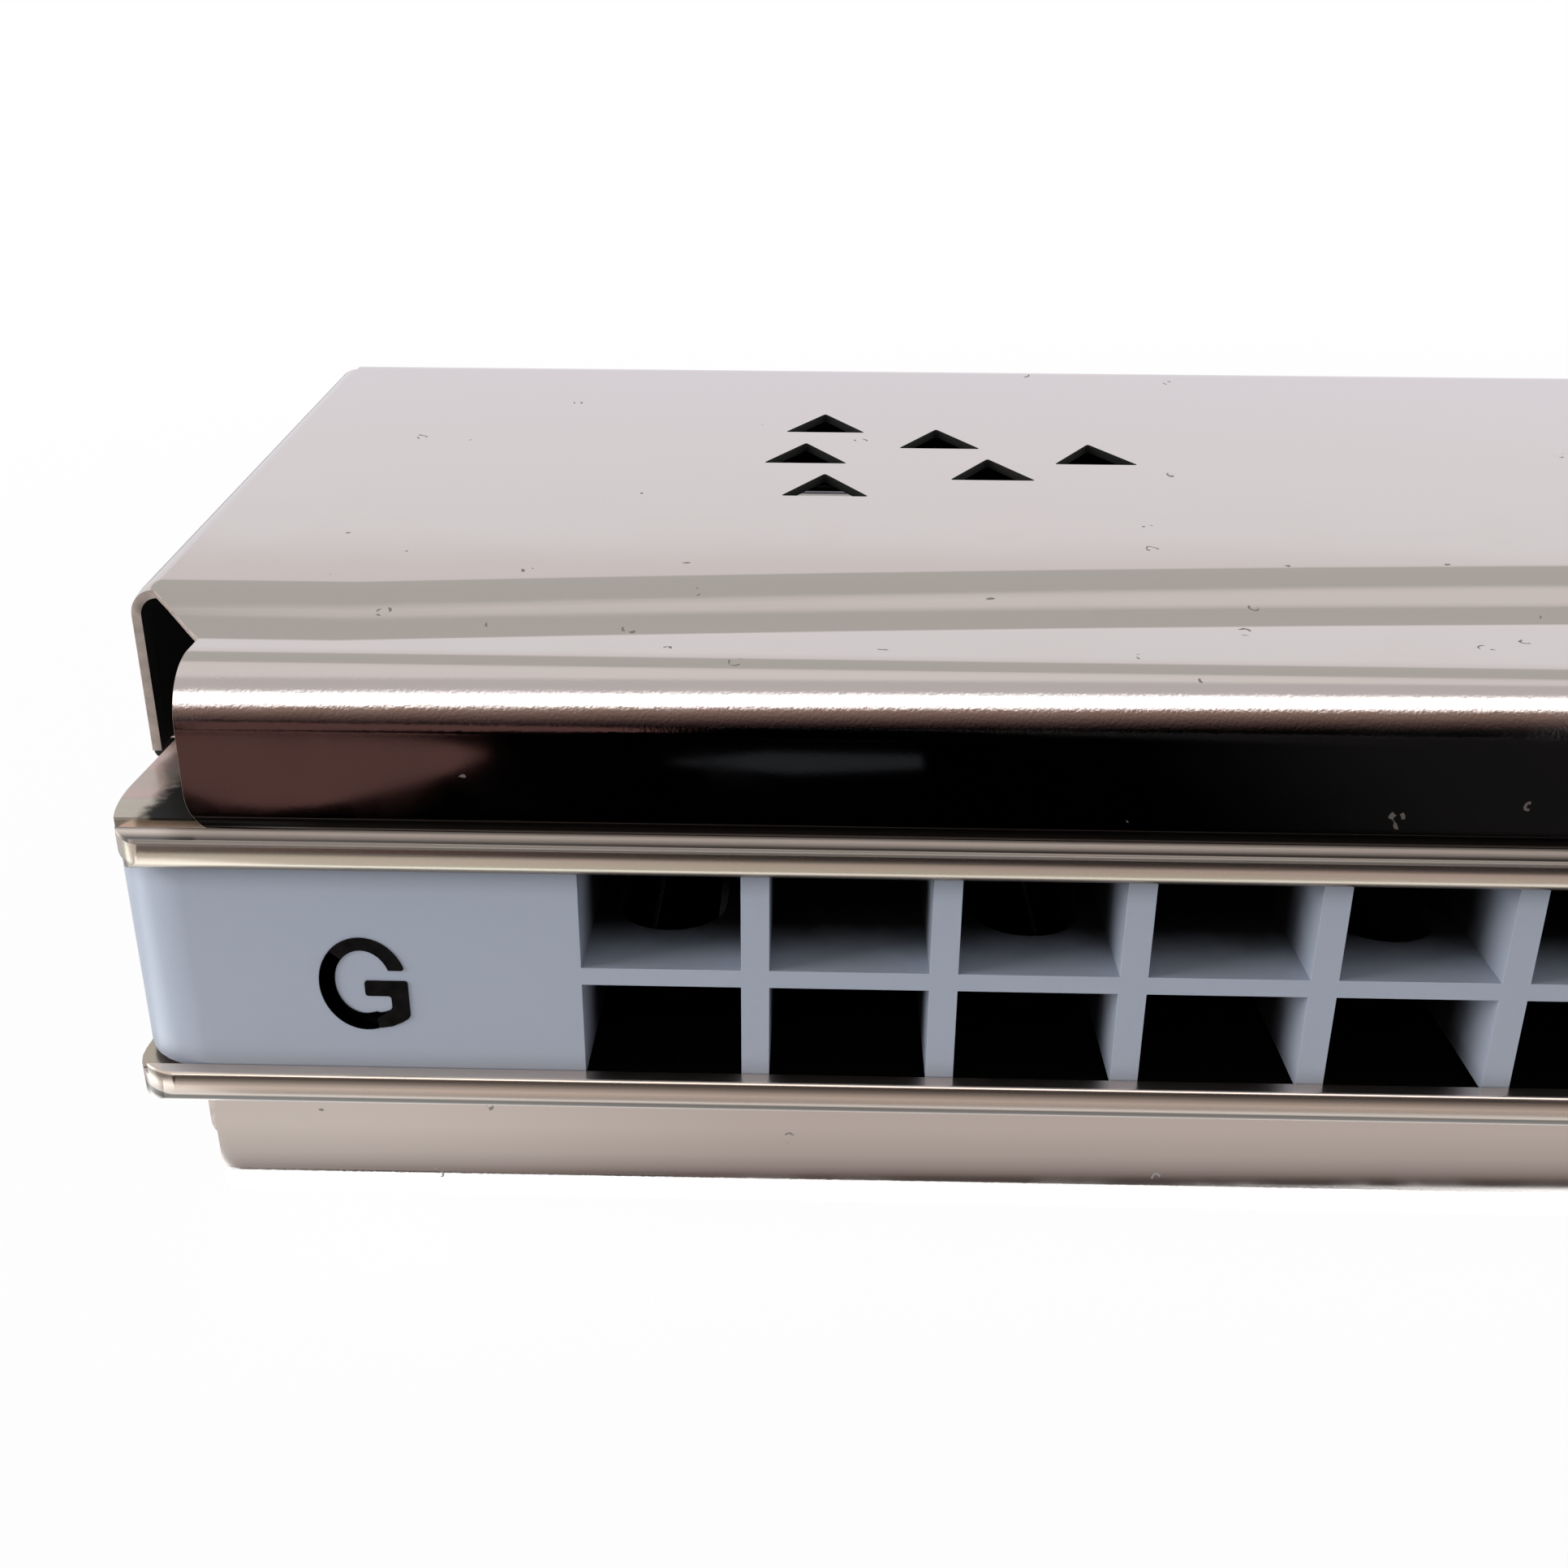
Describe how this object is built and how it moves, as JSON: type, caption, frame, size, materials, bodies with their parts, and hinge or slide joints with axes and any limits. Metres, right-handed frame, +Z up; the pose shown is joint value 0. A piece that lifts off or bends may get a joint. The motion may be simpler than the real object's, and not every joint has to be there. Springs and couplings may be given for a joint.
{
  "type": "tremolo harmonica",
  "caption": "Long free-reed mouth organ with a double row of square cells, two reed plates and bright sheet covers with triangular sound vents.",
  "frame": {"origin": "the middle of the instrument's bounding box: halfway along it, halfway through its depth and on the comb's middle plane", "axes": "+X along the instrument to the high notes, +Y from the mouth side to the rear, +Z up out of the upper cover"},
  "size_m": [0.1896, 0.0362, 0.028],
  "materials": {
    "comb_plastic": "bluish white moulded plastic, soft gloss",
    "plate_plating": "brass plate with a warm pale plating, satin",
    "cover_chrome": "bright plated sheet, mirror finish with light handling marks",
    "reed_brass": "bare brass, satin",
    "fastener_steel": "plated steel, satin"
  },
  "bodies": {
    "body": {"comb": "comb_plastic", "upper_reed_plate": "plate_plating", "lower_reed_plate": "plate_plating", "upper_cover": "cover_chrome", "lower_cover": "cover_chrome", "cover_bolt_left": "fastener_steel", "cover_bolt_right": "fastener_steel", "cover_nut_left": "fastener_steel", "cover_nut_right": "fastener_steel"},
    "upper_reed_01": {"upper_reed_01": "reed_brass"},
    "upper_reed_02": {"upper_reed_02": "reed_brass"},
    "upper_reed_03": {"upper_reed_03": "reed_brass"},
    "upper_reed_04": {"upper_reed_04": "reed_brass"},
    "upper_reed_05": {"upper_reed_05": "reed_brass"},
    "upper_reed_06": {"upper_reed_06": "reed_brass"},
    "upper_reed_07": {"upper_reed_07": "reed_brass"},
    "upper_reed_08": {"upper_reed_08": "reed_brass"},
    "upper_reed_09": {"upper_reed_09": "reed_brass"},
    "upper_reed_10": {"upper_reed_10": "reed_brass"},
    "upper_reed_11": {"upper_reed_11": "reed_brass"},
    "upper_reed_12": {"upper_reed_12": "reed_brass"},
    "upper_reed_13": {"upper_reed_13": "reed_brass"},
    "upper_reed_14": {"upper_reed_14": "reed_brass"},
    "upper_reed_15": {"upper_reed_15": "reed_brass"},
    "upper_reed_16": {"upper_reed_16": "reed_brass"},
    "upper_reed_17": {"upper_reed_17": "reed_brass"},
    "upper_reed_18": {"upper_reed_18": "reed_brass"},
    "upper_reed_19": {"upper_reed_19": "reed_brass"},
    "upper_reed_20": {"upper_reed_20": "reed_brass"},
    "upper_reed_21": {"upper_reed_21": "reed_brass"},
    "upper_reed_22": {"upper_reed_22": "reed_brass"},
    "upper_reed_23": {"upper_reed_23": "reed_brass"},
    "upper_reed_24": {"upper_reed_24": "reed_brass"},
    "lower_reed_01": {"lower_reed_01": "reed_brass"},
    "lower_reed_02": {"lower_reed_02": "reed_brass"},
    "lower_reed_03": {"lower_reed_03": "reed_brass"},
    "lower_reed_04": {"lower_reed_04": "reed_brass"},
    "lower_reed_05": {"lower_reed_05": "reed_brass"},
    "lower_reed_06": {"lower_reed_06": "reed_brass"},
    "lower_reed_07": {"lower_reed_07": "reed_brass"},
    "lower_reed_08": {"lower_reed_08": "reed_brass"},
    "lower_reed_09": {"lower_reed_09": "reed_brass"},
    "lower_reed_10": {"lower_reed_10": "reed_brass"},
    "lower_reed_11": {"lower_reed_11": "reed_brass"},
    "lower_reed_12": {"lower_reed_12": "reed_brass"},
    "lower_reed_13": {"lower_reed_13": "reed_brass"},
    "lower_reed_14": {"lower_reed_14": "reed_brass"},
    "lower_reed_15": {"lower_reed_15": "reed_brass"},
    "lower_reed_16": {"lower_reed_16": "reed_brass"},
    "lower_reed_17": {"lower_reed_17": "reed_brass"},
    "lower_reed_18": {"lower_reed_18": "reed_brass"},
    "lower_reed_19": {"lower_reed_19": "reed_brass"},
    "lower_reed_20": {"lower_reed_20": "reed_brass"},
    "lower_reed_21": {"lower_reed_21": "reed_brass"},
    "lower_reed_22": {"lower_reed_22": "reed_brass"},
    "lower_reed_23": {"lower_reed_23": "reed_brass"},
    "lower_reed_24": {"lower_reed_24": "reed_brass"}
  },
  "joints": [
    {"name": "upper_reed_01_swing", "type": "hinge", "parent": "body", "child": "upper_reed_01", "pos_m": [-0.0713, -0.00942, 0.00365], "axis": [1, 0, 0], "range_deg": [-2.5, 2.5], "stiffness_Nm_per_rad": 0.03},
    {"name": "upper_reed_02_swing", "type": "hinge", "parent": "body", "child": "upper_reed_02", "pos_m": [-0.0651, -0.00942, 0.00545], "axis": [1, 0, 0], "range_deg": [-2.5, 2.5], "stiffness_Nm_per_rad": 0.03},
    {"name": "upper_reed_03_swing", "type": "hinge", "parent": "body", "child": "upper_reed_03", "pos_m": [-0.0589, -0.00942, 0.00365], "axis": [1, 0, 0], "range_deg": [-2.5, 2.5], "stiffness_Nm_per_rad": 0.03},
    {"name": "upper_reed_04_swing", "type": "hinge", "parent": "body", "child": "upper_reed_04", "pos_m": [-0.0527, -0.00942, 0.00545], "axis": [1, 0, 0], "range_deg": [-2.5, 2.5], "stiffness_Nm_per_rad": 0.03},
    {"name": "upper_reed_05_swing", "type": "hinge", "parent": "body", "child": "upper_reed_05", "pos_m": [-0.0465, -0.00942, 0.00365], "axis": [1, 0, 0], "range_deg": [-2.5, 2.5], "stiffness_Nm_per_rad": 0.03},
    {"name": "upper_reed_06_swing", "type": "hinge", "parent": "body", "child": "upper_reed_06", "pos_m": [-0.0403, -0.00942, 0.00545], "axis": [1, 0, 0], "range_deg": [-2.5, 2.5], "stiffness_Nm_per_rad": 0.03},
    {"name": "upper_reed_07_swing", "type": "hinge", "parent": "body", "child": "upper_reed_07", "pos_m": [-0.0341, -0.00942, 0.00365], "axis": [1, 0, 0], "range_deg": [-2.5, 2.5], "stiffness_Nm_per_rad": 0.03},
    {"name": "upper_reed_08_swing", "type": "hinge", "parent": "body", "child": "upper_reed_08", "pos_m": [-0.0279, -0.00942, 0.00545], "axis": [1, 0, 0], "range_deg": [-2.5, 2.5], "stiffness_Nm_per_rad": 0.03},
    {"name": "upper_reed_09_swing", "type": "hinge", "parent": "body", "child": "upper_reed_09", "pos_m": [-0.0217, -0.00942, 0.00365], "axis": [1, 0, 0], "range_deg": [-2.5, 2.5], "stiffness_Nm_per_rad": 0.03},
    {"name": "upper_reed_10_swing", "type": "hinge", "parent": "body", "child": "upper_reed_10", "pos_m": [-0.0155, -0.00942, 0.00545], "axis": [1, 0, 0], "range_deg": [-2.5, 2.5], "stiffness_Nm_per_rad": 0.03},
    {"name": "upper_reed_11_swing", "type": "hinge", "parent": "body", "child": "upper_reed_11", "pos_m": [-0.0093, -0.00942, 0.00365], "axis": [1, 0, 0], "range_deg": [-2.5, 2.5], "stiffness_Nm_per_rad": 0.03},
    {"name": "upper_reed_12_swing", "type": "hinge", "parent": "body", "child": "upper_reed_12", "pos_m": [-0.0031, -0.00942, 0.00545], "axis": [1, 0, 0], "range_deg": [-2.5, 2.5], "stiffness_Nm_per_rad": 0.03},
    {"name": "upper_reed_13_swing", "type": "hinge", "parent": "body", "child": "upper_reed_13", "pos_m": [0.0031, -0.00942, 0.00365], "axis": [1, 0, 0], "range_deg": [-2.5, 2.5], "stiffness_Nm_per_rad": 0.03},
    {"name": "upper_reed_14_swing", "type": "hinge", "parent": "body", "child": "upper_reed_14", "pos_m": [0.0093, -0.00942, 0.00545], "axis": [1, 0, 0], "range_deg": [-2.5, 2.5], "stiffness_Nm_per_rad": 0.03},
    {"name": "upper_reed_15_swing", "type": "hinge", "parent": "body", "child": "upper_reed_15", "pos_m": [0.0155, -0.00942, 0.00365], "axis": [1, 0, 0], "range_deg": [-2.5, 2.5], "stiffness_Nm_per_rad": 0.03},
    {"name": "upper_reed_16_swing", "type": "hinge", "parent": "body", "child": "upper_reed_16", "pos_m": [0.0217, -0.00942, 0.00545], "axis": [1, 0, 0], "range_deg": [-2.5, 2.5], "stiffness_Nm_per_rad": 0.03},
    {"name": "upper_reed_17_swing", "type": "hinge", "parent": "body", "child": "upper_reed_17", "pos_m": [0.0279, -0.00942, 0.00365], "axis": [1, 0, 0], "range_deg": [-2.5, 2.5], "stiffness_Nm_per_rad": 0.03},
    {"name": "upper_reed_18_swing", "type": "hinge", "parent": "body", "child": "upper_reed_18", "pos_m": [0.0341, -0.00942, 0.00545], "axis": [1, 0, 0], "range_deg": [-2.5, 2.5], "stiffness_Nm_per_rad": 0.03},
    {"name": "upper_reed_19_swing", "type": "hinge", "parent": "body", "child": "upper_reed_19", "pos_m": [0.0403, -0.00942, 0.00365], "axis": [1, 0, 0], "range_deg": [-2.5, 2.5], "stiffness_Nm_per_rad": 0.03},
    {"name": "upper_reed_20_swing", "type": "hinge", "parent": "body", "child": "upper_reed_20", "pos_m": [0.0465, -0.00942, 0.00545], "axis": [1, 0, 0], "range_deg": [-2.5, 2.5], "stiffness_Nm_per_rad": 0.03},
    {"name": "upper_reed_21_swing", "type": "hinge", "parent": "body", "child": "upper_reed_21", "pos_m": [0.0527, -0.00942, 0.00365], "axis": [1, 0, 0], "range_deg": [-2.5, 2.5], "stiffness_Nm_per_rad": 0.03},
    {"name": "upper_reed_22_swing", "type": "hinge", "parent": "body", "child": "upper_reed_22", "pos_m": [0.0589, -0.00942, 0.00545], "axis": [1, 0, 0], "range_deg": [-2.5, 2.5], "stiffness_Nm_per_rad": 0.03},
    {"name": "upper_reed_23_swing", "type": "hinge", "parent": "body", "child": "upper_reed_23", "pos_m": [0.0651, -0.00942, 0.00365], "axis": [1, 0, 0], "range_deg": [-2.5, 2.5], "stiffness_Nm_per_rad": 0.03},
    {"name": "upper_reed_24_swing", "type": "hinge", "parent": "body", "child": "upper_reed_24", "pos_m": [0.0713, -0.00942, 0.00545], "axis": [1, 0, 0], "range_deg": [-2.5, 2.5], "stiffness_Nm_per_rad": 0.03},
    {"name": "lower_reed_01_swing", "type": "hinge", "parent": "body", "child": "lower_reed_01", "pos_m": [-0.0713, -0.00942, -0.00365], "axis": [1, 0, 0], "range_deg": [-2.5, 2.5], "stiffness_Nm_per_rad": 0.03},
    {"name": "lower_reed_02_swing", "type": "hinge", "parent": "body", "child": "lower_reed_02", "pos_m": [-0.0651, -0.00942, -0.00545], "axis": [1, 0, 0], "range_deg": [-2.5, 2.5], "stiffness_Nm_per_rad": 0.03},
    {"name": "lower_reed_03_swing", "type": "hinge", "parent": "body", "child": "lower_reed_03", "pos_m": [-0.0589, -0.00942, -0.00365], "axis": [1, 0, 0], "range_deg": [-2.5, 2.5], "stiffness_Nm_per_rad": 0.03},
    {"name": "lower_reed_04_swing", "type": "hinge", "parent": "body", "child": "lower_reed_04", "pos_m": [-0.0527, -0.00942, -0.00545], "axis": [1, 0, 0], "range_deg": [-2.5, 2.5], "stiffness_Nm_per_rad": 0.03},
    {"name": "lower_reed_05_swing", "type": "hinge", "parent": "body", "child": "lower_reed_05", "pos_m": [-0.0465, -0.00942, -0.00365], "axis": [1, 0, 0], "range_deg": [-2.5, 2.5], "stiffness_Nm_per_rad": 0.03},
    {"name": "lower_reed_06_swing", "type": "hinge", "parent": "body", "child": "lower_reed_06", "pos_m": [-0.0403, -0.00942, -0.00545], "axis": [1, 0, 0], "range_deg": [-2.5, 2.5], "stiffness_Nm_per_rad": 0.03},
    {"name": "lower_reed_07_swing", "type": "hinge", "parent": "body", "child": "lower_reed_07", "pos_m": [-0.0341, -0.00942, -0.00365], "axis": [1, 0, 0], "range_deg": [-2.5, 2.5], "stiffness_Nm_per_rad": 0.03},
    {"name": "lower_reed_08_swing", "type": "hinge", "parent": "body", "child": "lower_reed_08", "pos_m": [-0.0279, -0.00942, -0.00545], "axis": [1, 0, 0], "range_deg": [-2.5, 2.5], "stiffness_Nm_per_rad": 0.03},
    {"name": "lower_reed_09_swing", "type": "hinge", "parent": "body", "child": "lower_reed_09", "pos_m": [-0.0217, -0.00942, -0.00365], "axis": [1, 0, 0], "range_deg": [-2.5, 2.5], "stiffness_Nm_per_rad": 0.03},
    {"name": "lower_reed_10_swing", "type": "hinge", "parent": "body", "child": "lower_reed_10", "pos_m": [-0.0155, -0.00942, -0.00545], "axis": [1, 0, 0], "range_deg": [-2.5, 2.5], "stiffness_Nm_per_rad": 0.03},
    {"name": "lower_reed_11_swing", "type": "hinge", "parent": "body", "child": "lower_reed_11", "pos_m": [-0.0093, -0.00942, -0.00365], "axis": [1, 0, 0], "range_deg": [-2.5, 2.5], "stiffness_Nm_per_rad": 0.03},
    {"name": "lower_reed_12_swing", "type": "hinge", "parent": "body", "child": "lower_reed_12", "pos_m": [-0.0031, -0.00942, -0.00545], "axis": [1, 0, 0], "range_deg": [-2.5, 2.5], "stiffness_Nm_per_rad": 0.03},
    {"name": "lower_reed_13_swing", "type": "hinge", "parent": "body", "child": "lower_reed_13", "pos_m": [0.0031, -0.00942, -0.00365], "axis": [1, 0, 0], "range_deg": [-2.5, 2.5], "stiffness_Nm_per_rad": 0.03},
    {"name": "lower_reed_14_swing", "type": "hinge", "parent": "body", "child": "lower_reed_14", "pos_m": [0.0093, -0.00942, -0.00545], "axis": [1, 0, 0], "range_deg": [-2.5, 2.5], "stiffness_Nm_per_rad": 0.03},
    {"name": "lower_reed_15_swing", "type": "hinge", "parent": "body", "child": "lower_reed_15", "pos_m": [0.0155, -0.00942, -0.00365], "axis": [1, 0, 0], "range_deg": [-2.5, 2.5], "stiffness_Nm_per_rad": 0.03},
    {"name": "lower_reed_16_swing", "type": "hinge", "parent": "body", "child": "lower_reed_16", "pos_m": [0.0217, -0.00942, -0.00545], "axis": [1, 0, 0], "range_deg": [-2.5, 2.5], "stiffness_Nm_per_rad": 0.03},
    {"name": "lower_reed_17_swing", "type": "hinge", "parent": "body", "child": "lower_reed_17", "pos_m": [0.0279, -0.00942, -0.00365], "axis": [1, 0, 0], "range_deg": [-2.5, 2.5], "stiffness_Nm_per_rad": 0.03},
    {"name": "lower_reed_18_swing", "type": "hinge", "parent": "body", "child": "lower_reed_18", "pos_m": [0.0341, -0.00942, -0.00545], "axis": [1, 0, 0], "range_deg": [-2.5, 2.5], "stiffness_Nm_per_rad": 0.03},
    {"name": "lower_reed_19_swing", "type": "hinge", "parent": "body", "child": "lower_reed_19", "pos_m": [0.0403, -0.00942, -0.00365], "axis": [1, 0, 0], "range_deg": [-2.5, 2.5], "stiffness_Nm_per_rad": 0.03},
    {"name": "lower_reed_20_swing", "type": "hinge", "parent": "body", "child": "lower_reed_20", "pos_m": [0.0465, -0.00942, -0.00545], "axis": [1, 0, 0], "range_deg": [-2.5, 2.5], "stiffness_Nm_per_rad": 0.03},
    {"name": "lower_reed_21_swing", "type": "hinge", "parent": "body", "child": "lower_reed_21", "pos_m": [0.0527, -0.00942, -0.00365], "axis": [1, 0, 0], "range_deg": [-2.5, 2.5], "stiffness_Nm_per_rad": 0.03},
    {"name": "lower_reed_22_swing", "type": "hinge", "parent": "body", "child": "lower_reed_22", "pos_m": [0.0589, -0.00942, -0.00545], "axis": [1, 0, 0], "range_deg": [-2.5, 2.5], "stiffness_Nm_per_rad": 0.03},
    {"name": "lower_reed_23_swing", "type": "hinge", "parent": "body", "child": "lower_reed_23", "pos_m": [0.0651, -0.00942, -0.00365], "axis": [1, 0, 0], "range_deg": [-2.5, 2.5], "stiffness_Nm_per_rad": 0.03},
    {"name": "lower_reed_24_swing", "type": "hinge", "parent": "body", "child": "lower_reed_24", "pos_m": [0.0713, -0.00942, -0.00545], "axis": [1, 0, 0], "range_deg": [-2.5, 2.5], "stiffness_Nm_per_rad": 0.03}
  ],
  "couplings": [
    {"joint": "lower_reed_01_swing", "follows": "upper_reed_01_swing", "ratio": -1},
    {"joint": "lower_reed_02_swing", "follows": "upper_reed_02_swing", "ratio": -1},
    {"joint": "lower_reed_03_swing", "follows": "upper_reed_03_swing", "ratio": -1},
    {"joint": "lower_reed_04_swing", "follows": "upper_reed_04_swing", "ratio": -1},
    {"joint": "lower_reed_05_swing", "follows": "upper_reed_05_swing", "ratio": -1},
    {"joint": "lower_reed_06_swing", "follows": "upper_reed_06_swing", "ratio": -1},
    {"joint": "lower_reed_07_swing", "follows": "upper_reed_07_swing", "ratio": -1},
    {"joint": "lower_reed_08_swing", "follows": "upper_reed_08_swing", "ratio": -1},
    {"joint": "lower_reed_09_swing", "follows": "upper_reed_09_swing", "ratio": -1},
    {"joint": "lower_reed_10_swing", "follows": "upper_reed_10_swing", "ratio": -1},
    {"joint": "lower_reed_11_swing", "follows": "upper_reed_11_swing", "ratio": -1},
    {"joint": "lower_reed_12_swing", "follows": "upper_reed_12_swing", "ratio": -1},
    {"joint": "lower_reed_13_swing", "follows": "upper_reed_13_swing", "ratio": -1},
    {"joint": "lower_reed_14_swing", "follows": "upper_reed_14_swing", "ratio": -1},
    {"joint": "lower_reed_15_swing", "follows": "upper_reed_15_swing", "ratio": -1},
    {"joint": "lower_reed_16_swing", "follows": "upper_reed_16_swing", "ratio": -1},
    {"joint": "lower_reed_17_swing", "follows": "upper_reed_17_swing", "ratio": -1},
    {"joint": "lower_reed_18_swing", "follows": "upper_reed_18_swing", "ratio": -1},
    {"joint": "lower_reed_19_swing", "follows": "upper_reed_19_swing", "ratio": -1},
    {"joint": "lower_reed_20_swing", "follows": "upper_reed_20_swing", "ratio": -1},
    {"joint": "lower_reed_21_swing", "follows": "upper_reed_21_swing", "ratio": -1},
    {"joint": "lower_reed_22_swing", "follows": "upper_reed_22_swing", "ratio": -1},
    {"joint": "lower_reed_23_swing", "follows": "upper_reed_23_swing", "ratio": -1},
    {"joint": "lower_reed_24_swing", "follows": "upper_reed_24_swing", "ratio": -1}
  ]
}
